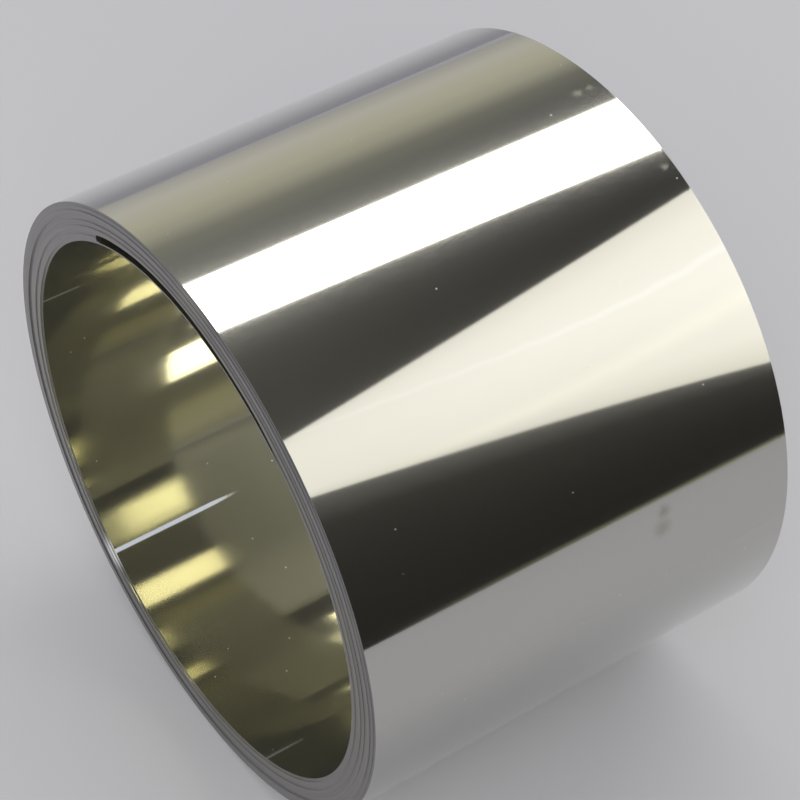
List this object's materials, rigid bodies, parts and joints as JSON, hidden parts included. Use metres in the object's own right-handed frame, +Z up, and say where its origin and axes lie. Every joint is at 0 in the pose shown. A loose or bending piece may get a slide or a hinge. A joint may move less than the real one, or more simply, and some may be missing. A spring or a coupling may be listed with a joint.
{
  "type": "stainless steel foil roll",
  "caption": "Coreless roll of bright stainless steel foil with a wide bore, its wound turns showing on both ends and the innermost turn standing off the bore wall at its end.",
  "frame": {"origin": "on the floor, in the middle under the roll", "axes": "+Y along the roll's axis, away from the end seen first; +Z up from the floor; +X to the right, seen from that end"},
  "size_m": [0.171, 0.1262, 0.171],
  "materials": {
    "bright_foil": "bright annealed, close to a mirror"
  },
  "bodies": {
    "root": {"foil_roll": "bright_foil"}
  },
  "joints": []
}
